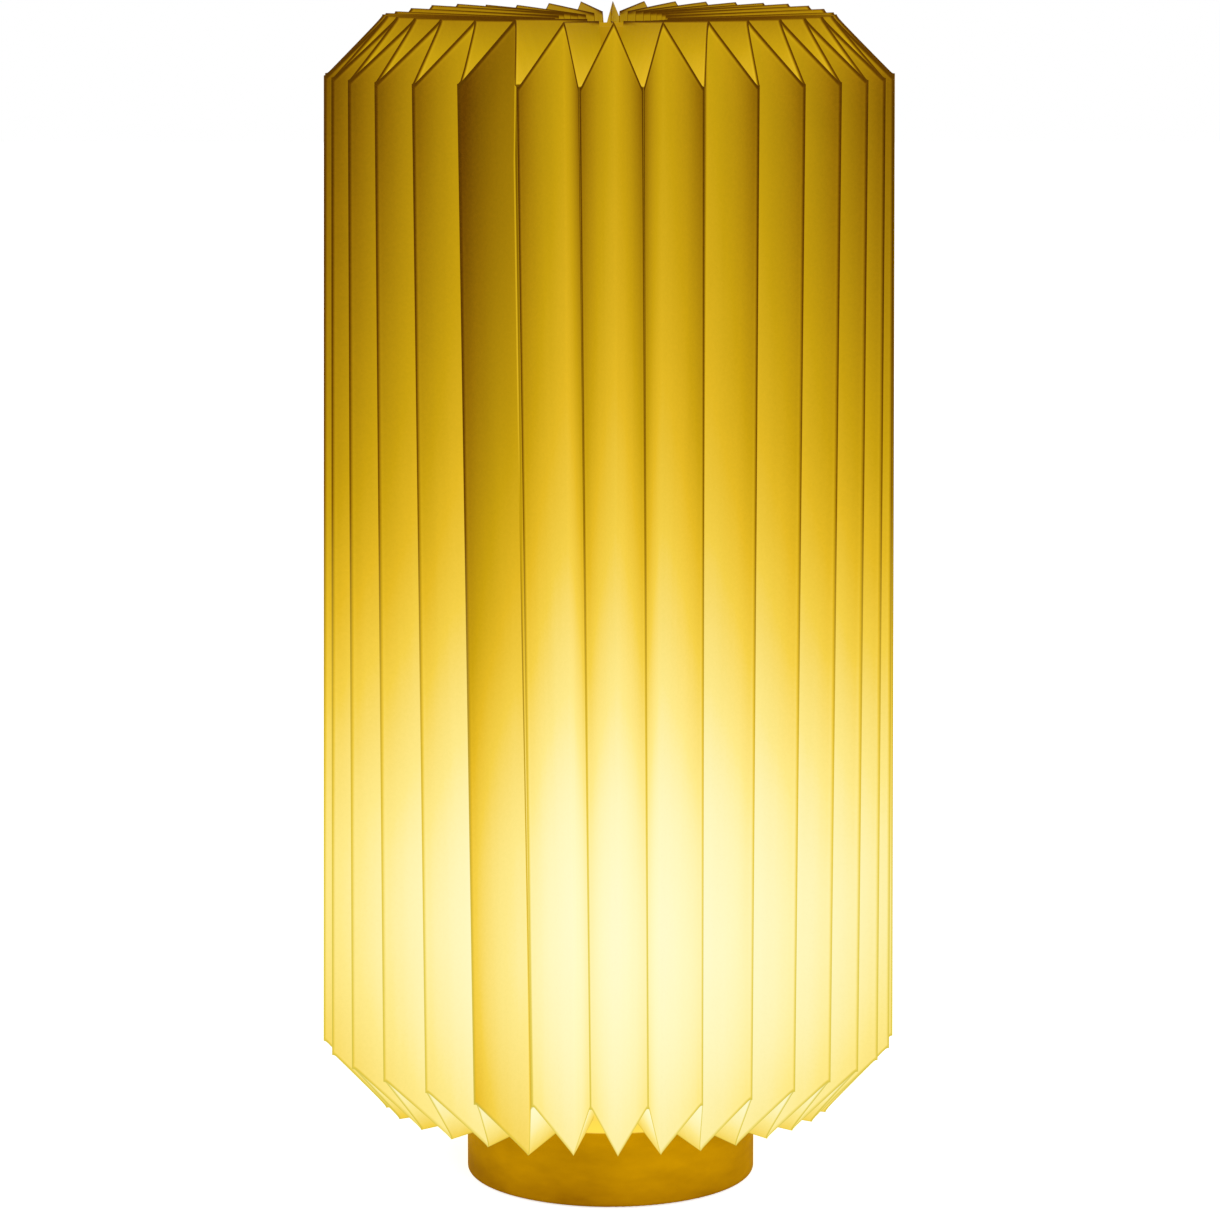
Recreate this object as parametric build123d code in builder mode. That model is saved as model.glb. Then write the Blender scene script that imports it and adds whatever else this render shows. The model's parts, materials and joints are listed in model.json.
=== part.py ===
from build123d import *
from math import atan2, cos, floor, hypot, radians, sin
import os

# Pleated paper table lamp in millimetres, +Z up.
# The origin lies on the table under the middle of the base. The front faces -Y, the cord inlet +Y.

# ---- Clearances ----
seat_gap = 0.3          # between a piece and the one that carries it, where they are not face to face
fit_gap = 0.1           # round a thread, pin or push fit

# ---- Wooden base ----
base_radius = 51.5
base_height = 28.2
base_roof = 10.0        # wood left over the cavity
base_lift = 0.6         # the felt holds the wood this far off the table
base_top_round = 1.0
base_foot_round = 1.5
cavity_radius = 38.0
cover_rim = 8.0         # width of the ledge that the cover is screwed to
cover_thickness = 1.6
cover_screw_count = 3
cover_screw_radius = 1.5
cover_screw_head = 3.0
cover_screw_length = 9.0
felt_thickness = 2.0
felt_margin = 1.5
weight_height = 14.0
weight_bore = 16.0
weight_round = 1.2

# ---- Cord inlet ----
cord_bore = 3.5
bush_wall = 1.5
bush_flange = 1.8       # how far the flange stands out round the bush
bush_flange_thickness = 1.8
bush_seat_depth = 1.2
bush_round = 0.9

# ---- Threaded tube through the base ----
tube_radius = 4.9
tube_bore = 3.9
tube_grip = 6.0         # length screwed into the lampholder
washer_radius = 9.0
washer_thickness = 1.5
nut_across_flats = 14.0
nut_height = 4.0
tube_end = 1.0          # thread showing below the nut

# ---- Gallery that centres the shade ----
gallery_radius = 36.9
gallery_height = 14.0
gallery_sheet = 1.2
gallery_bend = 2.4

# ---- Paper shade ----
pleat_count = 36
pleat_depth = 21.8      # from the outer folds to the inner folds
upper_fold_radius = 98.5
lower_fold_radius = 101.5
lower_rim = 27.9        # height of the lowest fold tips, just below the top of the base
shade_height = 385.5
upper_shoulder = 20.8   # drop from the rim to the ends of the outer folds
lower_shoulder = 22.5
upper_slope = 0.03      # fall of the turned-in folds towards the inside of the shade
lower_slope = 0.022
paper = 0.4
ring_wall = 1.0
ring_fit = 0.5          # play between the lower ring and the gallery
lower_ring_height = 22.0
upper_ring_height = 18.0
vent_radius = 18.7      # opening in the top of the shade

# The pleats are not spread evenly: they stand wide at the front and crowd together at the back.
# Each wave shifts the folds by a swing in degrees, with a start in degrees.
upper_turn = -5.4
upper_waves = ((7.8, 0), (0.8, 0), (1.0, 0))
upper_inner = (0.7, 0)      # turn and swing of the inner folds against the middle of their panels
lower_turn = -6.1
lower_waves = ((5.9, 12), (2.0, 80))
lower_inner = (0.4, -2.2)

# The sheet is closed into a tube by gluing one pleat over another.
seam_pleat = -2         # outer fold at which the double layer starts
seam_edge = 0.93        # free edge, as a share of the way to the next outer fold
seam_ramp = 0.04        # stretch over which the second layer comes up
smallest_facet = 1e-6   # square millimetres, below which a strip of paper has no width

# ---- Lampholder, small Edison screw ----
holder_radius = 14.5
holder_neck = 8.5
holder_neck_height = 3.5
holder_flare = 6.0
holder_wall = 1.5
cap_wall_height = 7.0
skirt_height = 20.0
skirt_spigot = 5.0
skirt_round = 0.5
insert_flange = 1.6
insert_height = 22.0
socket_bore = 7.5
socket_depth = 15.5
sleeve_wall = 0.5
sleeve_height = 13.5
contact_width = 4.0
contact_sheet = 0.5
contact_rise = 1.5
contact_bend_low = -1.9     # where the contact leaves the floor of the socket
contact_bend_high = 1.4     # and where it turns level again
terminal_radius = 1.2
terminal_head = 1.9
terminal_head_height = 1.3
terminal_length = 4.5
terminal_spread = 8.0

# ---- Bulb: frosted golf ball on a small Edison cap ----
globe_radius = 22.5
globe_wall = 1.2
bulb_length = 78.0
cap_length = 16.0
cap_wall = 0.4
insulator_height = 2.4
tip_radius = 2.4
tip_height = 1.6
tip_round = 0.8
housing_foot_lean = (0.6, 1)    # direction of the housing's outline where it leaves the cap
housing_top_lean = (0.15, 1)    # and where it meets the globe
bulb_joint_drop = 9.0   # the globe meets the housing this far below its middle
led_plate_thickness = 1.2
led_plate_margin = 0.6      # from the plate's edge to the wall of the globe
led_count = 8
led_size = 3.0
led_height = 0.8
led_ring = 12.0

# ---- Joints ----
shade_clearance = 5.0   # how far the lifted shade hangs above the bulb

# ---- Heights and radii that follow ----
upper_rim = lower_rim + shade_height
cover_bottom = felt_thickness
cavity_floor = cover_bottom + cover_thickness
cavity_top = base_height - base_roof
recess_radius = cavity_radius + cover_rim
cover_radius = recess_radius - seat_gap
inlet_height = (cavity_floor + cavity_top) / 2
inlet_seat = base_radius - bush_seat_depth
bush_radius = cord_bore + bush_wall
flange_radius = bush_radius + bush_flange
tube_hole = tube_radius + fit_gap
gallery_floor = base_height + gallery_sheet
tube_top = gallery_floor + tube_grip
nut_top = cavity_top - washer_thickness
tube_bottom = nut_top - nut_height - tube_end

lower_ring_bore = gallery_radius + ring_fit
lower_ring_radius = lower_ring_bore + ring_wall
lower_mouth = lower_ring_radius + seat_gap
upper_ring_radius = vent_radius + ring_wall
upper_mouth = upper_ring_radius + seat_gap

flare_bottom = gallery_floor + holder_neck_height
flare_top = flare_bottom + holder_flare
cap_top = flare_top + cap_wall_height
cap_bore = holder_radius - holder_wall
skirt_bottom = cap_top + fit_gap
skirt_top = skirt_bottom + skirt_height
spigot_radius = cap_bore - fit_gap
skirt_bore = spigot_radius - holder_wall
insert_bottom = skirt_bottom - skirt_spigot - insert_flange - fit_gap
insert_top = insert_bottom + insert_height
insert_radius = skirt_bore - fit_gap
socket_floor = insert_top - socket_depth
sleeve_radius = socket_bore - fit_gap
sleeve_bore = sleeve_radius - sleeve_wall
contact_top = socket_floor + contact_sheet + contact_rise

tip_bottom = contact_top + fit_gap
bulb_top = tip_bottom + bulb_length
globe_centre = bulb_top - globe_radius
globe_foot = globe_centre - bulb_joint_drop
globe_foot_radius = (globe_radius**2 - bulb_joint_drop**2) ** 0.5
globe_foot_bore = ((globe_radius - globe_wall) ** 2 - bulb_joint_drop**2) ** 0.5
cap_radius = sleeve_bore - fit_gap
cap_bottom = tip_bottom + tip_height + insulator_height - fit_gap
cap_end = cap_bottom + cap_length
shade_travel = bulb_top - lower_rim + shade_clearance

half_pitch = radians(180 / pleat_count)


# ======== The folded paper ========

def fold_angle(step, turn, waves, inner):
    """Angle from the front, in radians. Whole steps are outer folds, halves are inner folds."""
    regular = 360 * step / pleat_count
    drift = 0
    for lobes, (swing, start) in enumerate(waves, start=1):
        drift += swing * sin(radians(lobes * regular + start))
    if step % 1:
        inner_turn, inner_swing = inner
        drift += inner_turn + inner_swing * sin(radians(regular))
    return radians(turn + regular + drift)


def fold_end(step, side, skin, layers):
    """Corner at the shoulder and corner at the mouth of one fold; side is 1 at the top, -1 below.

    skin is the depth of the corner inside the outer face of the paper. At a fold the depth grows,
    because the two panels meet there at a sharp angle. Extra layers lie on the outside of the wall.
    """
    if side == 1:
        rim, fold_radius, shoulder = upper_rim, upper_fold_radius, upper_shoulder
        mouth, slope, turn, waves, inner = upper_mouth, upper_slope, upper_turn, upper_waves, upper_inner
    else:
        rim, fold_radius, shoulder = lower_rim, lower_fold_radius, lower_shoulder
        mouth, slope, turn, waves, inner = lower_mouth, lower_slope, lower_turn, lower_waves, lower_inner
    inner_radius = fold_radius - pleat_depth
    lean = atan2(inner_radius * sin(half_pitch), fold_radius - inner_radius * cos(half_pitch))
    if step % 1 == 0:
        start_radius, level, corner = fold_radius, rim - side * shoulder, lean
    else:
        start_radius, level, corner = inner_radius, rim, lean + half_pitch
    turned = fold_angle(step, turn, waves, inner)
    corners = []
    for reach in (start_radius + ((layers - 1) * paper - skin) / sin(corner), mouth):
        steepness = hypot(1, shoulder / (reach * sin(half_pitch)))
        sink = slope * (start_radius - reach) + skin * steepness
        corners.append(Vector(reach * sin(turned), -reach * cos(turned), level - side * sink))
    return corners


def fold_line(step, skin, layers):
    """The four corners of a fold, from the lower mouth round the shoulders to the upper mouth."""
    return fold_end(step, -1, skin, layers)[::-1] + fold_end(step, 1, skin, layers)


def section(place, layers=1):
    """Section of the sheet at a place counted in pleats, out one face and back along the other."""
    before = floor(2 * place) / 2
    share = 2 * (place - before)
    corners = []
    for skin, outer_layers in ((0, layers), (paper, 1)):
        ends = zip(fold_line(before, skin, outer_layers), fold_line(before + 0.5, skin, outer_layers))
        line = [start + (end - start) * share for start, end in ends]
        corners += line[::-1] if skin else line
    return corners


def facet_area(triangle):
    a, b, c = triangle
    return (b - a).cross(c - a).length / 2


def panel(corners):
    """Paper face through four corners, as two flat triangles; one that has no width is left out."""
    a, b, c, d = corners
    triangles = [(a, b, c), (a, c, d)]
    return [Face(Wire.make_polygon(t)) for t in triangles if facet_area(t) > smallest_facet]


seam_start = seam_pleat + seam_ramp
seam_end = seam_pleat + seam_edge
sections = [section(seam_pleat), section(seam_start, 2), section(seam_pleat + 0.5, 2)]
sections += [section(seam_end, 2), section(seam_end)]
sections += [section(seam_pleat + half_step / 2) for half_step in range(2, 2 * pleat_count)]
panels = []
for here, there in zip(sections, sections[1:] + sections[:1]):
    for corner in range(len(here)):
        outline = [here[corner - 1], here[corner], there[corner], there[corner - 1]]
        if corner > len(here) / 2:      # the inner face bends along the same diagonals as the outer one
            outline = outline[1:] + outline[:1]
        panels += panel(outline)

with BuildPart() as pleated_shade:
    add(Solid(Shell(panels)))

with BuildPart() as lower_shade_ring:
    with BuildSketch(Plane.XY.offset(base_height)):
        Circle(lower_ring_radius)
        Circle(lower_ring_bore, mode=Mode.SUBTRACT)
    extrude(amount=lower_ring_height)

upper_ring_middle = upper_rim - upper_shoulder / 2 - upper_slope * (upper_fold_radius - upper_mouth)
with BuildPart() as upper_shade_ring:
    with BuildSketch(Plane.XY.offset(upper_ring_middle - upper_ring_height / 2)):
        Circle(upper_ring_radius)
        Circle(vent_radius, mode=Mode.SUBTRACT)
    extrude(amount=upper_ring_height)


# ======== Wooden base and what it holds ========

inlet_plane = Plane(origin=(0, 0, inlet_height), x_dir=(-1, 0, 0), z_dir=(0, 1, 0))
screw_circle = (cavity_radius + recess_radius) / 2

with BuildPart() as wooden_base:
    with BuildSketch(Plane.XY.offset(base_lift)):
        Circle(base_radius)
    extrude(amount=base_height - base_lift)
    rims = wooden_base.edges().filter_by(GeomType.CIRCLE).sort_by(Axis.Z)
    fillet(rims[-1], radius=base_top_round)
    fillet(rims[0], radius=base_foot_round)
    with BuildSketch(Plane.XY.offset(base_lift)):
        Circle(recess_radius)
    extrude(amount=cavity_floor - base_lift, mode=Mode.SUBTRACT)
    with BuildSketch(Plane.XY.offset(cavity_floor)):
        Circle(cavity_radius)
    extrude(amount=cavity_top - cavity_floor, mode=Mode.SUBTRACT)
    with BuildSketch(Plane.XY.offset(cavity_top)):
        Circle(tube_hole)
    extrude(amount=base_roof, mode=Mode.SUBTRACT)
    with BuildSketch(inlet_plane.offset(inlet_seat)):
        Circle(flange_radius + seat_gap)
    extrude(amount=base_radius, mode=Mode.SUBTRACT)
    with BuildSketch(inlet_plane.offset(cavity_radius - bush_radius)):
        Circle(bush_radius + fit_gap)
    extrude(amount=base_radius, mode=Mode.SUBTRACT)
    with BuildSketch(Plane.XY.offset(cavity_floor)):
        with PolarLocations(screw_circle, cover_screw_count):
            Circle(cover_screw_radius + fit_gap)
    extrude(amount=cover_screw_length, mode=Mode.SUBTRACT)

with BuildPart() as base_cover:
    with BuildSketch(Plane.XY.offset(cover_bottom)):
        Circle(cover_radius)
    extrude(amount=cover_thickness)
    with Locations(Plane.XY.offset(cover_bottom).rotated((180, 0, 0))):
        with PolarLocations(screw_circle, cover_screw_count):
            CounterSinkHole(cover_screw_radius + fit_gap, cover_screw_head + fit_gap)

with BuildPart() as cover_screws:
    with BuildSketch(Plane.XY.offset(cover_bottom)):
        with PolarLocations(screw_circle, cover_screw_count):
            Circle(cover_screw_radius)
    extrude(amount=cover_screw_length)
    with BuildSketch(Plane.XY.offset(cover_bottom)):
        with PolarLocations(screw_circle, cover_screw_count):
            Circle(cover_screw_head)
    extrude(amount=cover_screw_head - cover_screw_radius, taper=45)

with BuildPart() as felt_pad:
    with BuildSketch():
        Circle(cover_radius - felt_margin)
    extrude(amount=felt_thickness)

with BuildPart() as base_weight:
    with BuildSketch(Plane.XY.offset(cavity_floor)):
        Circle(cavity_radius - seat_gap)
        Circle(weight_bore, mode=Mode.SUBTRACT)
        with Locations((0, cavity_radius / 2)):
            Rectangle(2 * flange_radius, cavity_radius, mode=Mode.SUBTRACT)
    extrude(amount=weight_height)
    fillet(base_weight.edges().filter_by(Axis.Z), radius=weight_round)

bush_length = inlet_seat - cavity_radius
with BuildPart() as cord_bush:
    with BuildSketch(inlet_plane.offset(cavity_radius)):
        Circle(bush_radius)
    extrude(amount=bush_length)
    with BuildSketch(inlet_plane.offset(inlet_seat)):
        Circle(flange_radius)
    extrude(amount=bush_flange_thickness)
    fillet(cord_bush.edges().filter_by(GeomType.CIRCLE).sort_by(Axis.Y)[-1], radius=bush_round)
    with BuildSketch(inlet_plane.offset(cavity_radius)):
        Circle(cord_bore)
    extrude(amount=base_radius, mode=Mode.SUBTRACT)

with BuildPart() as threaded_tube:
    with BuildSketch(Plane.XY.offset(tube_bottom)):
        Circle(tube_radius)
        Circle(tube_bore, mode=Mode.SUBTRACT)
    extrude(amount=tube_top - tube_bottom)

with BuildPart() as tube_washer:
    with BuildSketch(Plane.XY.offset(nut_top)):
        Circle(washer_radius)
        Circle(tube_hole, mode=Mode.SUBTRACT)
    extrude(amount=washer_thickness)

with BuildPart() as tube_nut:
    with BuildSketch(Plane.XY.offset(nut_top - nut_height)):
        RegularPolygon(nut_across_flats / 2, 6, major_radius=False)
        Circle(tube_radius + fit_gap, mode=Mode.SUBTRACT)
    extrude(amount=nut_height)

with BuildPart() as shade_gallery:
    with BuildSketch(Plane.XY.offset(base_height)):
        Circle(gallery_radius)
    extrude(amount=gallery_height)
    fillet(shade_gallery.edges().group_by(Axis.Z)[0], radius=gallery_bend)
    offset(amount=-gallery_sheet, openings=shade_gallery.faces().sort_by(Axis.Z)[-1])
    with BuildSketch(Plane.XY.offset(base_height)):
        Circle(tube_hole)
    extrude(amount=gallery_sheet, mode=Mode.SUBTRACT)


# ======== Lampholder ========

with BuildPart() as holder_cap:
    with BuildSketch(Plane.XZ):
        with BuildLine():
            Line((tube_hole, gallery_floor), (holder_neck, gallery_floor))
            Line((holder_neck, gallery_floor), (holder_neck, flare_bottom))
            Bezier(
                (holder_neck, flare_bottom),
                (holder_neck, (flare_bottom + flare_top) / 2),
                (holder_radius, (flare_bottom + flare_top) / 2),
                (holder_radius, flare_top),
            )
            Line((holder_radius, flare_top), (holder_radius, cap_top))
            Line((holder_radius, cap_top), (cap_bore, cap_top))
            Line((cap_bore, cap_top), (cap_bore, insert_bottom))
            Line((cap_bore, insert_bottom), (cap_bore - holder_wall, insert_bottom))
            Line((cap_bore - holder_wall, insert_bottom), (holder_neck, tube_top))
            Line((holder_neck, tube_top), (tube_hole, tube_top))
            Line((tube_hole, tube_top), (tube_hole, gallery_floor))
        make_face()
    revolve(axis=Axis.Z)

with BuildPart() as holder_skirt:
    with BuildSketch(Plane.XZ):
        with BuildLine():
            Polyline(
                (skirt_bore, skirt_bottom - skirt_spigot),
                (spigot_radius, skirt_bottom - skirt_spigot),
                (spigot_radius, skirt_bottom),
                (holder_radius, skirt_bottom),
                (holder_radius, skirt_top),
                (skirt_bore, skirt_top),
                close=True,
            )
        make_face()
        fillet(vertices().group_by(Axis.Y)[-1], radius=skirt_round)
    revolve(axis=Axis.Z)

with BuildPart() as holder_insert:
    with BuildSketch(Plane.XY.offset(insert_bottom)):
        Circle(spigot_radius)
    extrude(amount=insert_flange)
    with BuildSketch(Plane.XY.offset(insert_bottom + insert_flange)):
        Circle(insert_radius)
    extrude(amount=insert_height - insert_flange)
    with BuildSketch(Plane.XY.offset(socket_floor)):
        Circle(socket_bore)
    extrude(amount=socket_depth, mode=Mode.SUBTRACT)
    chamfer(holder_insert.edges().filter_by(GeomType.CIRCLE).group_by(Axis.Z)[-1], length=seat_gap)
    with BuildSketch(Plane.XY.offset(insert_bottom)):
        with Locations((terminal_spread, 0), (-terminal_spread, 0)):
            Circle(terminal_radius + fit_gap)
    extrude(amount=terminal_length, mode=Mode.SUBTRACT)

with BuildPart() as socket_sleeve:
    with BuildSketch(Plane.XY.offset(insert_top - sleeve_height)):
        Circle(sleeve_radius)
        Circle(sleeve_bore, mode=Mode.SUBTRACT)
    extrude(amount=sleeve_height)

contact_reach = (sleeve_bore**2 - contact_width**2) ** 0.5
with BuildPart() as centre_contact:
    with BuildSketch(Plane.XZ):
        with BuildLine():
            Polyline(
                (-contact_reach, socket_floor),
                (contact_bend_low, socket_floor),
                (contact_bend_high, contact_top - contact_sheet),
                (contact_reach, contact_top - contact_sheet),
                (contact_reach, contact_top),
                (contact_bend_high - contact_sheet / 2, contact_top),
                (contact_bend_low - contact_sheet / 2, socket_floor + contact_sheet),
                (-contact_reach, socket_floor + contact_sheet),
                close=True,
            )
        make_face()
    extrude(amount=contact_width / 2, both=True)

with BuildPart() as terminal_screws:
    with BuildSketch(Plane.XY.offset(insert_bottom - terminal_head_height)):
        with Locations((terminal_spread, 0), (-terminal_spread, 0)):
            Circle(terminal_head)
    extrude(amount=terminal_head_height)
    with BuildSketch(Plane.XY.offset(insert_bottom)):
        with Locations((terminal_spread, 0), (-terminal_spread, 0)):
            Circle(terminal_radius)
    extrude(amount=terminal_length)


# ======== Bulb ========

with BuildPart() as bulb_globe:
    with BuildSketch(Plane.XZ):
        with BuildLine():
            ThreePointArc((globe_foot_radius, globe_foot), (globe_radius, globe_centre), (0, bulb_top))
            Line((0, bulb_top), (0, bulb_top - globe_wall))
            ThreePointArc(
                (0, bulb_top - globe_wall),
                (globe_radius - globe_wall, globe_centre),
                (globe_foot_bore, globe_foot),
            )
            Line((globe_foot_bore, globe_foot), (globe_foot_radius, globe_foot))
        make_face()
    revolve(axis=Axis.Z)

with BuildPart() as bulb_housing:
    with BuildSketch(Plane.XZ):
        with BuildLine():
            Line((0, cap_end), (cap_radius, cap_end))
            Spline(
                (cap_radius, cap_end),
                (globe_foot_radius, globe_foot),
                tangents=(housing_foot_lean, housing_top_lean),
            )
            Line((globe_foot_radius, globe_foot), (0, globe_foot))
            Line((0, globe_foot), (0, cap_end))
        make_face()
    revolve(axis=Axis.Z)

with BuildPart() as led_plate:
    with BuildSketch(Plane.XY.offset(globe_foot)):
        Circle(globe_foot_bore - led_plate_margin)
    extrude(amount=led_plate_thickness)

with BuildPart() as led_chips:
    with BuildSketch(Plane.XY.offset(globe_foot + led_plate_thickness)):
        with PolarLocations(led_ring, led_count):
            Rectangle(led_size, led_size)
    extrude(amount=led_height)

with BuildPart() as bulb_cap:
    with BuildSketch(Plane.XY.offset(cap_bottom)):
        Circle(cap_radius)
        Circle(cap_radius - cap_wall, mode=Mode.SUBTRACT)
    extrude(amount=cap_length)

with BuildPart() as bulb_insulator:
    with BuildSketch(Plane.XY.offset(tip_bottom + tip_height)):
        Circle(tip_radius)
    with BuildSketch(Plane.XY.offset(cap_bottom + fit_gap)):
        Circle(cap_radius - cap_wall - fit_gap)
    loft()

with BuildPart() as bulb_tip:
    with BuildSketch(Plane.XY.offset(tip_bottom)):
        Circle(tip_radius)
    extrude(amount=tip_height)
    fillet(bulb_tip.edges().sort_by(Axis.Z)[0], radius=tip_round)


# ======== Output ========

pieces = {
    "pleated_shade": pleated_shade,
    "lower_shade_ring": lower_shade_ring,
    "upper_shade_ring": upper_shade_ring,
    "wooden_base": wooden_base,
    "base_cover": base_cover,
    "cover_screws": cover_screws,
    "felt_pad": felt_pad,
    "base_weight": base_weight,
    "cord_bush": cord_bush,
    "threaded_tube": threaded_tube,
    "tube_washer": tube_washer,
    "tube_nut": tube_nut,
    "shade_gallery": shade_gallery,
    "holder_cap": holder_cap,
    "holder_skirt": holder_skirt,
    "holder_insert": holder_insert,
    "socket_sleeve": socket_sleeve,
    "centre_contact": centre_contact,
    "terminal_screws": terminal_screws,
    "bulb_globe": bulb_globe,
    "bulb_housing": bulb_housing,
    "led_plate": led_plate,
    "led_chips": led_chips,
    "bulb_cap": bulb_cap,
    "bulb_insulator": bulb_insulator,
    "bulb_tip": bulb_tip,
}

os.makedirs("parts", exist_ok=True)
for name, piece in pieces.items():
    piece.part.label = name
    export_step(piece.part, f"parts/{name}.step")
print("The shade lifts", round(shade_travel, 1), "mm to clear the bulb.")
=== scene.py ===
import json
from math import atan2, cos, exp, hypot, radians, sin, sqrt

import bpy
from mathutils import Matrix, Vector


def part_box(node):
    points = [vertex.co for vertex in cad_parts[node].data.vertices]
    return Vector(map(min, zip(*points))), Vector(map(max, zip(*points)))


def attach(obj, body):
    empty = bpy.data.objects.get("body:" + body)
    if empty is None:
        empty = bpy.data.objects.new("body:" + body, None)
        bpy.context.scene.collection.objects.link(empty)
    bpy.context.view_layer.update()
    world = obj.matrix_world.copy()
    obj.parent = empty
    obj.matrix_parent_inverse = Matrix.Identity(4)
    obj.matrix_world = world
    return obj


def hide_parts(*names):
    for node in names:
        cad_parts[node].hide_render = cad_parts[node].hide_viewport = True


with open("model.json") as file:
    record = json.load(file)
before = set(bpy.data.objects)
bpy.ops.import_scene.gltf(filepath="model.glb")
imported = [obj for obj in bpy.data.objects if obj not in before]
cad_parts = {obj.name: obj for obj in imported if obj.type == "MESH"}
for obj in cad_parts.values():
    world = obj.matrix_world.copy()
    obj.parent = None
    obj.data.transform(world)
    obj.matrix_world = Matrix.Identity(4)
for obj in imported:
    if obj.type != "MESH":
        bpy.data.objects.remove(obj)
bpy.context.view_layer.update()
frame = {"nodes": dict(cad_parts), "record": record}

MM = 0.001

# ---- Camera ----
lens = 132.52               # millimetres
sensor = 36.0
camera_place = (-0.0002, -1.5667, 0.4652)
camera_pitch = 9.461        # degrees below level

# ---- Folded paper, in millimetres and degrees: the CAD's own fold lines, a little slacker ----
pleat_count = 36
pleat_depth = 21.8
upper_fold_radius = 99.35   # of the outer folds
lower_fold_radius = 102.35
lower_rim = 27.9
shade_height = 385.5
upper_shoulder = 20.8       # drop from the rim to the ends of the outer folds
lower_shoulder = 22.5
upper_slope = 0.03          # fall of the turned-in folds towards the inside of the shade
lower_slope = 0.022
upper_mouth = 20.0          # radius at which the turned-in folds end
lower_mouth = 38.7
upper_turn = -5.75
upper_waves = ((7.8, 0), (0.8, 0), (1.0, 0))    # swing and start of each shift of the folds
upper_inner = (0.7, 0)      # turn and swing of the inner folds against their neighbours
lower_turn = -6.45
lower_waves = ((5.9, 12), (2.0, 80))
lower_inner = (0.4, -2.2)
seam_pleat = -2             # outer fold at which the double layer starts
paper = 0.4                 # thickness
upper_rim = lower_rim + shade_height
half_pitch = radians(180 / pleat_count)
overlap_start = seam_pleat + pleat_count
upper_shift = -0.35         # the sheet leans a little to the left of its rings
lower_shift = -1.0

# ---- How the real sheet departs from flat panels and sharp folds ----
valley_round = 0.045        # rounding of the inner folds, as a share of a panel's width
ridge_round = 0.012         # and of the outer folds
round_reach = 0.5           # share of the width over which a rounding fades out
tip_width = 0.05            # the tips at the shoulders are blunt over this share of the width
tip_round = 0.02
tip_drop = 0.2              # share of an inner fold's rounding that its tip loses in height
wall_ease = 0.02            # share of the wall, beside a shoulder, that follows the blunt tips
turned_ease = 0.12          # share of a turned-in fold, beside its shoulder, that is rounded

seam_edge = 0.985           # cut edge of the overlapping end, as a share of the way to the next outer fold
layer_gap = 0.45            # the overlapping end of the sheet stands this far off the one under it
layer_ramp = 0.08           # and lifts off over this share of a pleat
layer_curl = 0.7            # its cut edge curls away from the next pleat
curl_from = 0.5             # share of the pleat at which the curl starts
curl_rise = 0.7             # share of the height over which it grows from the foot
curl_end = 0.05             # and in which it closes below the upper shoulder
curl_outward, curl_leftward = 0.37, 0.93        # square to the panel
steepest = 1.5              # limit to how far a raised layer's turned-in part rises for its gap

far_rise = 2.1              # the upper rim stands higher at the back
far_from, far_over = 0.08, 0.6      # start and length of the rise, by the cosine from the back
far_tilt = 0.1              # it reaches further forward on the right
far_sag = 1.2               # and the rim sags a little, left of the middle of the back
far_sag_place, far_sag_width = -0.45, 0.22      # by the sine, positive on the right

# ---- How dark the painted shade along the creases is ----
# The dark core is painted shade, the paler rim a painted highlight.
crease_reach = (0.18, 0.45, 0.72, 1.05, 1.7)    # millimetres from a crease: dark core, edge, paler rim
top_creases = (1.0, 1.0, 0.95, 0.5, -0.15, 0.0)     # on the crease and at those distances, at the top
foot_creases = (1.0, 0.85, 0.4, 0.0, -0.05, 0.0)    # and at the foot
foot_fade = 0.6             # the lower shoulder creases fade by this much towards the inner folds
wall_slant = 0.52           # millimetres square to a shoulder crease for each one along the wall
shoulder_slant = 0.62       # and along a turned-in fold
ridge_slant = 0.62          # millimetres from an outer fold for each one across its panel
crest_slant = 2.0           # and from an inner fold, on the turned-in part
mouth_narrowing = 0.7       # the turned-in panels narrow by this share up to the mouth
# Painted highlight: where light gets past the sheet's cut end it is pale.
free_edge = -0.1            # beside its cut edge the sheet is pale, not creased
pale_from = 0.93            # share of the seam's pleat at which that starts
pale_over = 0.02
under_edge = 0.99           # and at which it ends on the lower layer
pale_height = 190           # height from which the sheet is pale there
pale_climb = 120
pale_fold = 0.8             # how far a pale edge counts as an inner fold

# ---- Mesh of the sheet ----
wall_length, turned_length, panel_width = 360, 65, 24.5     # of a typical panel
wall_strips, turned_strips, panel_strips = 15, 5, 5         # even strips between the creases
valley_columns = [0.92, 0.965, 0.985, 1]                    # narrow ones beside an inner fold


# ======== Camera, floor and light ========

scene = bpy.context.scene
camera_data = bpy.data.cameras.new("camera")
camera_data.lens = lens
camera_data.sensor_width = sensor
camera_data.clip_start = 0.05
camera_data.clip_end = 50
camera = bpy.data.objects.new("camera", camera_data)
camera.location = camera_place
camera.rotation_euler = (radians(90 - camera_pitch), 0, 0)
scene.collection.objects.link(camera)
scene.camera = camera
scene.view_settings.view_transform = "Standard"


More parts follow.
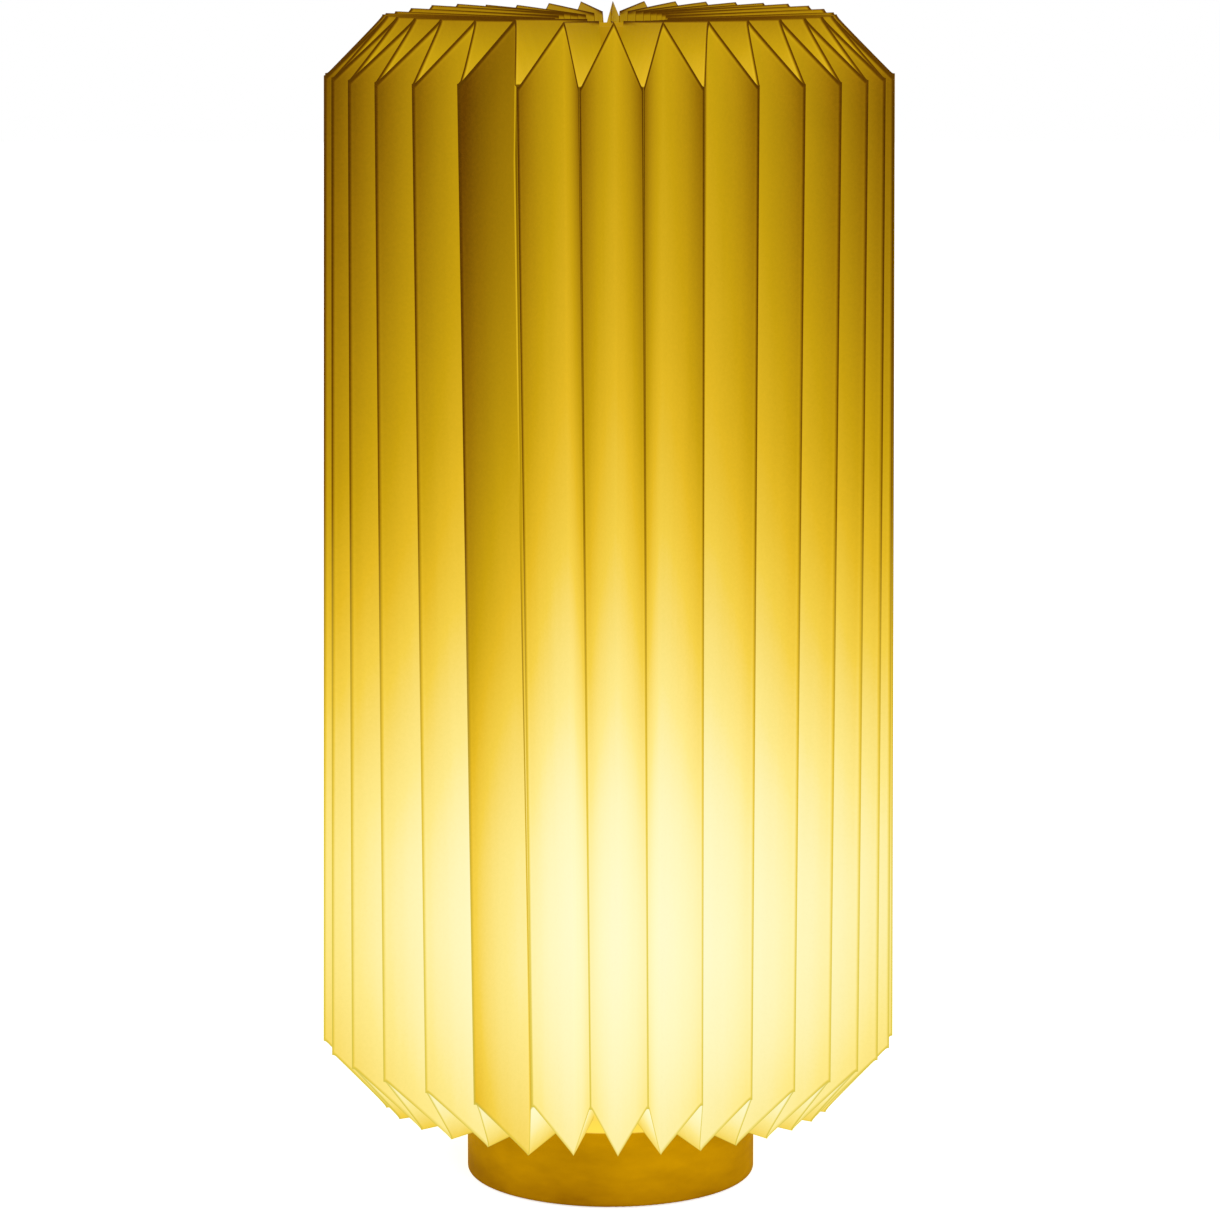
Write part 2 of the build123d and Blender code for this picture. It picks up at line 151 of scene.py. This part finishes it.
class Graph:
    """Short names for building one node tree."""

    def __init__(self, tree):
        self.nodes, self.links = tree.nodes, tree.links

    def new(self, kind, **settings):
        node = self.nodes.new("ShaderNode" + kind)
        for name, value in settings.items():
            setattr(node, name, value)
        return node

    def feed(self, socket, value):
        if isinstance(value, bpy.types.NodeSocket):
            self.links.new(value, socket)
        else:
            socket.default_value = value

    def math(self, operation, *values):
        node = self.new("Math", operation=operation)
        for socket, value in zip(node.inputs, values):
            self.feed(socket, value)
        return node.outputs[0]

    def times(self, first, *others):
        """Product of two or more values."""
        for other in others:
            first = self.math("MULTIPLY", first, other)
        return first

    def rest(self, share):
        """What a share leaves of 1."""
        return self.math("SUBTRACT", 1.0, share)

    def linear(self, value, gain, start):
        """start, plus gain for each 1 of the value."""
        return self.math("MULTIPLY_ADD", value, gain, start)

    def attribute(self, name):
        return self.new("Attribute", attribute_name=name).outputs["Fac"]

    def place(self):
        return self.new("TexCoord").outputs["Object"]

    def axis(self, name):
        """Position along X, Y or Z, in metres."""
        parts = self.new("SeparateXYZ")
        self.feed(parts.inputs[0], self.place())
        return parts.outputs[name]

    def noise(self, scale, detail=3.0, roughness=0.5, stretch=None):
        where = self.place()
        if stretch:
            mapping = self.new("Mapping")
            mapping.inputs["Scale"].default_value = stretch
            self.feed(mapping.inputs["Vector"], where)
            where = mapping.outputs[0]
        node = self.new("TexNoise")
        self.feed(node.inputs["Vector"], where)
        node.inputs["Scale"].default_value = scale
        node.inputs["Detail"].default_value = detail
        node.inputs["Roughness"].default_value = roughness
        return node.outputs["Fac"]

    def ramp(self, value, *stops):
        node = self.new("ValToRGB")
        self.feed(node.inputs["Fac"], value)
        points = node.color_ramp.elements
        while len(points) < len(stops):
            points.new(1.0)
        for point, (position, colour) in zip(points, stops):
            point.position = position
            point.color = (*colour, 1)
        return node.outputs["Color"]

    def bump(self, height, strength, distance):
        node = self.new("Bump")
        node.inputs["Strength"].default_value = strength
        node.inputs["Distance"].default_value = distance
        self.feed(node.inputs["Height"], height)
        return node.outputs["Normal"]

    def seen(self):
        """1 for camera, glossy and transmission rays, else 0."""
        path = self.new("LightPath")
        either = self.math("MAXIMUM", path.outputs["Is Camera Ray"], path.outputs["Is Glossy Ray"])
        return self.math("MAXIMUM", either, path.outputs["Is Transmission Ray"])


def new_material(name):
    material = bpy.data.materials.new(name)
    material.use_nodes = True
    return material, Graph(material.node_tree), material.node_tree.nodes["Principled BSDF"].inputs


# The floor is white to the camera, and still takes the lamp's shadow.
floor_reach = 6
floor_shine = 0.75
world_light = 0.5

floor_white, graph, shader = new_material("floor_white")
shader["Base Color"].default_value = (0.8, 0.8, 0.8, 1)
shader["Roughness"].default_value = 0.9
shader["Emission Color"].default_value = (1, 1, 1, 1)
graph.feed(shader["Emission Strength"], graph.times(graph.seen(), floor_shine))
floor_mesh = bpy.data.meshes.new("floor")
floor_corners = [(-1, -1), (1, -1), (1, 1), (-1, 1)]
floor_mesh.from_pydata([(x * floor_reach, y * floor_reach, 0) for x, y in floor_corners],
                       [], [(0, 1, 2, 3)])
floor_mesh.materials.append(floor_white)
floor = bpy.data.objects.new("floor", floor_mesh)
scene.collection.objects.link(floor)

world = bpy.data.worlds.new("world")
scene.world = world
world.use_nodes = True
graph = Graph(world.node_tree)
sky = graph.nodes["Background"].inputs
sky["Color"].default_value = (1, 1, 1, 1)
graph.feed(sky["Strength"], graph.math("MAXIMUM", graph.seen(), world_light))


shade_middle = (0, 0, 0.18)


def softbox(name, place, size, power):
    """A square lamp that looks at the middle of the shade."""
    data = bpy.data.lights.new(name, "AREA")
    data.size = size
    data.energy = power
    lamp = bpy.data.objects.new(name, data)
    lamp.location = place
    lamp.rotation_euler = (Vector(shade_middle) - Vector(place)).to_track_quat("-Z", "Y").to_euler()
    scene.collection.objects.link(lamp)


softbox("key", (-0.9, -1.6, 1.5), 0.9, 22)
softbox("fill", (1.3, -1.2, 0.9), 1.1, 12)


# ======== Folded paper ========

def smooth(value):
    value = min(max(value, 0), 1)
    return value * value * (3 - 2 * value)


def fold_angle(step, turn, waves, inner):
    """Angle from the front, in radians. Whole steps are outer folds, halves are inner folds."""
    regular = 360 * step / pleat_count
    drift = 0
    for lobes, (swing, start) in enumerate(waves, start=1):
        drift += swing * sin(radians(lobes * regular + start))
    if step % 1:
        inner_turn, inner_swing = inner
        drift += inner_turn + inner_swing * sin(radians(regular))
    return radians(turn + regular + drift)


def fold_end(step, side, out):
    """Shoulder and mouth corner of one fold; side is 1 at the top, -1 below.

    out is how far the surface lies outside the sheet.
    """
    if side == 1:
        rim, fold_radius, shoulder = upper_rim, upper_fold_radius, upper_shoulder
        mouth, slope, turn, waves, inner = upper_mouth, upper_slope, upper_turn, upper_waves, upper_inner
        shift = upper_shift
    else:
        rim, fold_radius, shoulder = lower_rim, lower_fold_radius, lower_shoulder
        mouth, slope, turn, waves, inner = lower_mouth, lower_slope, lower_turn, lower_waves, lower_inner
        shift = lower_shift
    inner_radius = fold_radius - pleat_depth
    lean = atan2(inner_radius * sin(half_pitch), fold_radius - inner_radius * cos(half_pitch))
    if step % 1 == 0:
        start_radius, level, corner = fold_radius, rim - side * shoulder, lean
    else:
        start_radius, level, corner = inner_radius, rim, lean + half_pitch
    turned = fold_angle(step, turn, waves, inner)
    if side == 1:
        level += far_rise * smooth((-cos(turned) - far_from + far_tilt * sin(turned)) / far_over)
        if cos(turned) < 0:
            level -= far_sag * exp(-((sin(turned) - far_sag_place) / far_sag_width)**2)
    corners = []
    for reach in (start_radius + out / sin(corner), mouth):
        steepness = hypot(1, shoulder / (reach * sin(half_pitch)))
        if out > 0:
            steepness = min(steepness, steepest)
        sink = slope * (start_radius - reach) - out * steepness
        leant = shift * reach / start_radius
        corners.append(Vector((reach * sin(turned) + leant, -reach * cos(turned), level - side * sink)))
    return corners


def fold_line(step, out):
    """Lower mouth, lower shoulder, upper shoulder and upper mouth corner of a fold."""
    return fold_end(step, -1, out)[::-1] + fold_end(step, 1, out)


def strips(length, middle, both_ends=False):
    """Shares along a length in millimetres: narrow strips beside a crease at 0, then even ones."""
    near = [0, *(reach / length for reach in crease_reach)]
    far = [1 - share for share in reversed(near)] if both_ends else [1]
    start, end = near[-1], far[0]
    inside = [start + (end - start) * i / middle for i in range(1, middle)]
    return near + inside + far


def crease_at(distance, level):
    """How much painted shade the sheet gets at a distance in millimetres from a crease, at a height; below 0
    it is a painted highlight.
    """
    reaches = (0, *crease_reach)
    upper = (level - lower_rim) / shade_height
    depths = [foot + (top - foot) * upper for top, foot in zip(top_creases, foot_creases)]
    for (a, b), (c, d) in zip(zip(reaches, depths), zip(reaches[1:], depths[1:])):
        if distance <= c:
            return b + (d - b) * (distance - a) / (c - a)
    return 0


def spot(line_a, line_b, share, segment, along):
    """A point of a panel between fold lines a (share 0) and b (share 1)."""
    low = line_a[segment].lerp(line_b[segment], share)
    high = line_a[segment + 1].lerp(line_b[segment + 1], share)
    return low.lerp(high, along)


def rounded(point, from_ridge, segment, along):
    """Moves a point of the sharp shape on to the rounded folds."""
    to_valley = 1 - from_ridge
    hollow = sqrt(to_valley**2 + valley_round**2) - to_valley
    hollow *= smooth(1 - to_valley / round_reach)
    crown = sqrt(from_ridge**2 + ridge_round**2) - from_ridge
    crown *= smooth(1 - from_ridge / round_reach)
    if segment == 1:
        side = 1 if along > 0.5 else -1
        edge = 1 - along if side == 1 else along
        radial, upright = 1, smooth(1 - edge / wall_ease)
    else:
        side = segment - 1
        edge = along if side == 1 else 1 - along
        radial, upright = smooth(1 - edge / turned_ease), 1
    shoulder = upper_shoulder if side == 1 else lower_shoulder
    outward = Vector((point.x, point.y, 0)).normalized()
    past_tip = from_ridge - tip_width
    blunt = (sqrt(past_tip**2 + tip_round**2) + past_tip) / 2 / (1 - tip_width)
    lift = side * shoulder * upright * (blunt - from_ridge - tip_drop * hollow)
    return point + outward * pleat_depth * radial * (hollow - crown) + Vector((0, 0, lift))


def curled(point, along, curl):
    """Opens a point of the wall away from the next pleat."""
    open_by = curl * smooth(along / curl_rise) * smooth((1 - along) / curl_end)
    outward = Vector((point.x, point.y, 0)).normalized()
    leftward = Vector((outward.y, -outward.x, 0))
    return point + (outward * curl_outward + leftward * curl_leftward) * open_by


def crease_near(level, from_ridge, segment, along, inward):
    """The deepest of the creases round a point of a panel."""
    near = [crease_at(from_ridge * panel_width * ridge_slant, level)]
    if segment == 1:
        foot, top = (crease_at(end * wall_length * wall_slant, level) for end in (along, 1 - along))
        if along < 0.5:
            foot *= 1 - foot_fade * from_ridge
        near += [foot, top]
    else:
        across_panel = (1 - from_ridge) * panel_width * (1 - mouth_narrowing * inward)
        near.append(crease_at(inward * turned_length * shoulder_slant, level))
        near.append(crease_at(across_panel * crest_slant, level))
    return max(near, key=abs)


def paleness(place, level, from_ridge):
    """Painted highlight: how far light gets past the edge of the wall's paper, at the sheet's cut end or an
    outer fold.
    """
    from_start = place - seam_pleat
    if pale_from < from_start < under_edge or place > overlap_start + pale_from:
        pale = smooth((from_start % pleat_count - pale_from) / pale_over)
        return pale * smooth((level - pale_height) / pale_climb)
    return (level - lower_rim) / shade_height if from_ridge == 0 else 0


turned_in = strips(turned_length * shoulder_slant, turned_strips)
wall_rows = strips(wall_length * wall_slant, wall_strips, both_ends=True)
# (segment, share) of each row from the lower mouth to the upper one; segment 1 is the wall
rows = [(0, 1 - share) for share in reversed(turned_in)]
rows += [(1, share) for share in wall_rows[1:]]
rows += [(2, share) for share in turned_in[1:]]
across = strips(panel_width * ridge_slant, panel_strips)[:-1] + valley_columns


class Sheet:
    """Vertices, faces and per-vertex values of the folded paper."""

    def __init__(self):
        self.points, self.faces = [], []
        self.values = {"fold": [], "crease": [], "layers": [], "pitch": [], "inward": []}

    def column(self, place, out_face, curl, layers):
        """Both faces of the sheet along one line from mouth to mouth; returns the first index."""
        before = int(place * 2 // 1) / 2
        share = 2 * (place - before)
        from_ridge = share if before % 1 == 0 else 1 - share
        pleat = place // 1
        pitch = (fold_angle(pleat + 1, upper_turn, upper_waves, upper_inner)
                 - fold_angle(pleat, upper_turn, upper_waves, upper_inner))
        first = len(self.points)
        for out in (out_face, out_face - paper):
            line_a, line_b = fold_line(before, out), fold_line(before + 0.5, out)
            for segment, along in rows:
                point = rounded(spot(line_a, line_b, share, segment, along), from_ridge, segment, along)
                if segment == 1:
                    point = curled(point, along, curl)
                    inward, pale = 0, paleness(place, point.z, from_ridge)
                else:
                    inward, pale = (along if segment == 2 else 1 - along), 0
                crease = crease_near(point.z, from_ridge, segment, along, inward)
                self.points.append(tuple(point * MM))
                self.values["fold"].append(max(from_ridge, pale_fold * pale))
                self.values["crease"].append(crease + (free_edge - crease) * pale)
                self.values["layers"].append(layers * (1 - pale))
                self.values["pitch"].append(pitch / (2 * half_pitch))
                self.values["inward"].append(inward)
        return first


sheet = Sheet()
last_place = overlap_start + seam_edge
places = []
half = 0
while seam_pleat + half / 2 < last_place:
    shares = across if half % 2 == 0 else [1 - share for share in reversed(across)]
    panel_places = [seam_pleat + (half + share) / 2 for share in shares[:-1]]
    places += [place for place in panel_places if place < last_place]
    half += 1
places.append(last_place)
columns = []
for place in places:
    past = place - overlap_start
    lift = layer_gap * smooth((past + layer_ramp) / layer_ramp)
    curl = layer_curl * smooth((past - curl_from) / (seam_edge - curl_from))
    doubled = past > 0 or place < seam_pleat + seam_edge
    columns.append(sheet.column(place, lift, curl, 1.0 if doubled else 0.0))
count = len(rows)
for here, there in zip(columns, columns[1:]):
    for row in range(count - 1):
        sheet.faces.append((here + row, there + row, there + row + 1, here + row + 1))
        inner = count + row
        sheet.faces.append((here + inner, here + inner + 1, there + inner + 1, there + inner))
    for row, flip in ((0, False), (count - 1, True)):
        rim = (here + row, here + count + row, there + count + row, there + row)
        sheet.faces.append(rim[::-1] if flip else rim)
for start, flip in ((columns[0], False), (columns[-1], True)):
    for row in range(count - 1):
        rim = (start + row, start + row + 1, start + count + row + 1, start + count + row)
        sheet.faces.append(rim[::-1] if flip else rim)

paper_mesh = bpy.data.meshes.new("folded_paper")
paper_mesh.from_pydata(sheet.points, [], sheet.faces)
for name, values in sheet.values.items():
    paper_mesh.attributes.new(name, "FLOAT", "POINT").data.foreach_set("value", values)
paper_mesh.validate()
paper_mesh.update()
folded_paper = bpy.data.objects.new("folded_paper_shade", paper_mesh)
scene.collection.objects.link(folded_paper)
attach(folded_paper, "shade")
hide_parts("pleated_shade")


# ======== The paper's glow ========

# The bulb's light through the sheet is painted into its emission colour.
# It is strongest level with the bulb, and weaker, as painted shade, where the sheet is folded or doubled.
# Heights are in metres.
glow_floor = 0.33           # light that reaches every height
glow_peak = 2.8
glow_level = 0.105          # height of the light's centre
glow_spread = 0.106
glow_fall = 1.5             # power by which the light falls off
dim_from = 0.085            # height from which the outer folds darken
dim_over = 0.292            # and the stretch over which they do
dim_least = 0.36            # loss of light at an outer fold low down
dim_gain = 0.413            # and what it gains up to the top
dim_climb = 2.3             # powers by which the loss grows with height
dim_spread = 1.4            # and with nearness to the fold
crease_loss, crease_gain = 0.55, 0.38       # loss of light in a crease at the foot, and its gain with height
crease_climb = 1.8          # that gain is complete at 1 / 1.8 of the outer folds' stretch
crease_light_colour = (0.57, 0.54, 0.09)    # the creases look greener low down, where the light is strong
crease_light_share = 0.9
hollow_gain = 1.45          # light in the hollows of the turned-in folds
crest_loss = 0.85           # and what it loses up to their crests
crest_power = 1.2
inward_loss = 0.1           # and in towards the mouth
wall_limit = 0.001          # the wall is where the way in towards the mouth is under this
# Painted shade where the sheet is doubled at the seam:
layer_loss = 0.37           # where the sheet is doubled
layer_high_loss = 0.14      # more of it high up
layer_edge_loss = 0.2       # and beside the outer fold
layer_climb, layer_edge = 4.0, 3.0          # powers by which those two grow
pitch_power = 0.5           # wide pleats let more light through
side_gain = 2.0             # share of the light lost for each metre to the left
side_level = 0.975
paper_grain = (900, 4.0, 0.6)               # scale, detail and roughness of the paper's fibres
paper_clouds = (28, 2.0, 0.5)
paper_streaks = (230, 2.0, 0.5, (1, 1, 0.03))
streak_swing, grain_swing, cloud_swing = 0.10, 0.08, 0.08
grain_low, grain_high = 0.3, 0.7            # noise between which a surface goes from dark to pale
glow_colours = (
    (0.00, (0.0, 0.0, 0.0)),
    (0.05, (0.125, 0.048, 0.0)),
    (0.16, (0.314, 0.162, 0.002)),
    (0.37, (0.597, 0.366, 0.0056)),
    (0.50, (0.784, 0.497, 0.0194)),
    (0.64, (0.905, 0.640, 0.067)),
    (0.82, (0.990, 0.823, 0.254)),
    (0.95, (1.0, 0.950, 0.550)),
    (1.00, (1.0, 0.980, 0.700)),
)
paper_colour = (0.095, 0.038, 0.0005)
paper_mottle = 0.15         # how far the fibres vary it
room_share = 0.9            # light of the room that falls on the shade, taken off the glow


def bulb_light(graph):
    """The bulb's light by height, and that height in metres."""
    height = graph.axis("Z")
    off = graph.math("DIVIDE", graph.math("SUBTRACT", height, glow_level), glow_spread)
    fall = graph.math("POWER", graph.linear(off, off, 1.0), glow_fall)
    return graph.math("ADD", graph.math("DIVIDE", glow_peak, fall), glow_floor), height


def shine(graph, light):
    """Share of full brightness that the eye sees for an amount of light."""
    return graph.rest(graph.math("EXPONENT", graph.times(light, -1.0)))


paper_material, graph, shader = new_material("amber_paper")
light, height = bulb_light(graph)
climb = graph.math("MAXIMUM", graph.math("DIVIDE", graph.math("SUBTRACT", height, dim_from), dim_over), 0.0)
fold, crease, inward = (graph.attribute(name) for name in ("fold", "crease", "inward"))
from_valley = graph.rest(fold)
on_wall = graph.math("LESS_THAN", inward, wall_limit)

# Painted shade: light reaches the inner folds fully, and the outer folds less and less with height.
dim = graph.linear(graph.math("POWER", climb, dim_climb), dim_gain, dim_least)
near_ridge = graph.math("POWER", graph.math("MAXIMUM", from_valley, 0.0), dim_spread)
light = graph.times(light, graph.rest(graph.times(dim, near_ridge, on_wall)))

# The turned-in folds are brightest low in the hollows between their crests.
hollow = graph.linear(graph.math("POWER", fold, crest_power), -crest_loss, hollow_gain)
hollow = graph.linear(inward, -inward_loss, hollow)
light = graph.times(light, graph.math("ADD", graph.times(hollow, graph.rest(on_wall)), on_wall))

# Painted shade in the creases, and in the doubled pleat at the seam.
steep_climb = graph.math("MINIMUM", graph.times(climb, crease_climb), 1.0)
crease_shade = graph.times(graph.linear(steep_climb, crease_gain, crease_loss), crease)
light = graph.times(light, graph.rest(crease_shade))
lost = graph.linear(graph.math("POWER", climb, layer_climb), layer_high_loss, layer_loss)
lost = graph.linear(graph.math("POWER", from_valley, layer_edge), layer_edge_loss, lost)
light = graph.times(light, graph.rest(graph.times(graph.attribute("layers"), on_wall, lost)))
light = graph.times(light, graph.math("POWER", graph.attribute("pitch"), pitch_power))

# Painted shade on the left: the shade isn't quite centred on the bulb, so its left side gets less light.
leftness = graph.math("MINIMUM", graph.axis("X"), 0.0)
light = graph.times(light, graph.linear(leftness, side_gain, side_level))

fibres = graph.noise(*paper_grain)
patterns = ((graph.noise(*paper_streaks), streak_swing), (fibres, grain_swing),
            (graph.noise(*paper_clouds), cloud_swing))
for pattern, swing in patterns:
    light = graph.times(light, graph.linear(pattern, swing, 1 - swing / 2))

stops = []
for position, colour in glow_colours:
    lit = tuple(max(c - p * room_share, 0) for c, p in zip(colour, paper_colour))
    stops.append((position, lit))
# Painted light: the light in the creases is greener low down.
crease_light_mix = graph.new("Mix", data_type="RGBA")
share = graph.times(graph.math("MAXIMUM", crease, 0.0), crease_light_share, graph.rest(steep_climb))
graph.feed(crease_light_mix.inputs["Factor"], share)
graph.feed(crease_light_mix.inputs["A"], graph.ramp(shine(graph, light), *stops))
crease_light_mix.inputs["B"].default_value = (*crease_light_colour, 1)
graph.feed(shader["Emission Color"], crease_light_mix.outputs["Result"])
shader["Emission Strength"].default_value = 1.0
darker, paler = ([c * (1 + sign * paper_mottle) for c in paper_colour] for sign in (-1, 1))
graph.feed(shader["Base Color"], graph.ramp(fibres, (grain_low, darker), (grain_high, paler)))
shader["Roughness"].default_value = 0.85
shader["Specular IOR Level"].default_value = 0.02
graph.feed(shader["Normal"], graph.bump(fibres, strength=0.25, distance=0.0002))
paper_mesh.materials.append(paper_material)


# ======== Finishes of the CAD nodes ========

finish_grain = (4.0, 0.6)   # detail and roughness of the noise
rough_swing = 0.2           # how far the grain varies a finish's roughness
bump_depth = 0.0003         # metres


def finish(name, dark, light, scale, roughness, metallic=0.0, bump=0.1, stretch=None, glow=None, lit=0,
           **sockets):
    """A finish that varies between two colours with a fine noise; lit is its share of the bulb's light,
    painted into its emission colour.
    """
    material, graph, shader = new_material(name)
    grain = graph.noise(scale, *finish_grain, stretch)
    graph.feed(shader["Base Color"], graph.ramp(grain, (grain_low, dark), (grain_high, light)))
    graph.feed(shader["Roughness"], graph.linear(grain, rough_swing, roughness - rough_swing / 2))
    shader["Metallic"].default_value = metallic
    graph.feed(shader["Normal"], graph.bump(grain, bump, bump_depth))
    if glow:
        shader["Emission Color"].default_value = (*glow[0], 1)
        shader["Emission Strength"].default_value = glow[1]
    if lit:
        received = graph.times(bulb_light(graph)[0], lit)
        graph.feed(shader["Emission Color"], graph.ramp(shine(graph, received), *glow_colours))
        shader["Emission Strength"].default_value = 1.0
    for socket, value in sockets.items():
        shader[socket.replace("_", " ")].default_value = value
    return material


# lit paints the bulb's light into the emission colour: much on ring_plastic, a little on gallery_paint.
finish_values = {
    "ring_plastic": dict(dark=(0.07, 0.04, 0.001), light=(0.10, 0.055, 0.001), scale=300,
                         roughness=0.6, lit=0.6, Specular_IOR_Level=0.03),
    "turned_wood": dict(dark=(0.22, 0.085, 0.0001), light=(0.44, 0.215, 0.0004), scale=24,
                        roughness=0.7, stretch=(1, 1, 2.5), Specular_IOR_Level=0.01),
    "zinc_steel": dict(dark=(0.5, 0.5, 0.48), light=(0.62, 0.62, 0.6), scale=120,
                       roughness=0.35, metallic=1.0),
    "felt": dict(dark=(0.02, 0.015, 0.01), light=(0.05, 0.04, 0.03), scale=900,
                 roughness=0.95, bump=0.8),
    "weight_iron": dict(dark=(0.04, 0.04, 0.042), light=(0.09, 0.09, 0.095), scale=220,
                        roughness=0.7, bump=0.6),
    "bush_plastic": dict(dark=(0.012, 0.01, 0.008), light=(0.02, 0.016, 0.012), scale=400,
                         roughness=0.45),
    "gallery_paint": dict(dark=(0.4, 0.38, 0.3), light=(0.46, 0.44, 0.36), scale=500,
                          roughness=0.5, lit=0.12),
    "holder_plastic": dict(dark=(0.76, 0.75, 0.7), light=(0.83, 0.82, 0.77), scale=350,
                           roughness=0.4),
    "holder_ceramic": dict(dark=(0.78, 0.77, 0.73), light=(0.88, 0.87, 0.84), scale=250,
                           roughness=0.6, bump=0.3),
    "contact_brass": dict(dark=(0.60, 0.40, 0.12), light=(0.80, 0.58, 0.22), scale=160,
                          roughness=0.3, metallic=1.0),
    "opal_diffuser": dict(dark=(0.9, 0.86, 0.76), light=(0.95, 0.92, 0.84), scale=200,
                          roughness=0.5, glow=((1.0, 0.62, 0.16), 1.2)),
    "bulb_plastic": dict(dark=(0.82, 0.81, 0.78), light=(0.88, 0.87, 0.84), scale=350,
                         roughness=0.4),
    "led_board": dict(dark=(0.7, 0.7, 0.68), light=(0.8, 0.8, 0.78), scale=350,
                      roughness=0.5),
    "led_phosphor": dict(dark=(0.85, 0.6, 0.1), light=(0.95, 0.7, 0.15), scale=350,
                         roughness=0.3, glow=((1.0, 0.8, 0.45), 6.0)),
    "cap_metal": dict(dark=(0.55, 0.55, 0.55), light=(0.72, 0.72, 0.72), scale=200,
                      roughness=0.3, metallic=1.0),
    "cap_glass": dict(dark=(0.01, 0.01, 0.012), light=(0.02, 0.02, 0.022), scale=200,
                      roughness=0.12),
}
finishes = {name: finish(name, **values) for name, values in finish_values.items()}
finishes["shade_paper"] = paper_material

# Painted light: the bulb lights the top of the base and shows through the notches of the shade; the sides
# catch less, darker towards the foot. It is painted into the wood's emission colour.
painted_light_on_wood = (       # by share of the base's height
    (0.0, (0.05, 0.025, 0.0)),
    (0.55, (0.21, 0.115, 0.0)),
    (0.97, (0.25, 0.14, 0.0)),
    (0.985, (0.74, 0.62, 0.085)),
)
graph = Graph(finishes["turned_wood"].node_tree)
base_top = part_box("wooden_base")[1][2]
shader = graph.nodes["Principled BSDF"].inputs
wood_level = graph.math("DIVIDE", graph.axis("Z"), base_top)
graph.feed(shader["Emission Color"], graph.ramp(wood_level, *painted_light_on_wood))
shader["Emission Strength"].default_value = 1.0

for part in frame["record"]["subparts"]:
    mesh = frame["nodes"][part["node"]].data
    mesh.materials.clear()
    mesh.materials.append(finishes[part["material_slot"]])
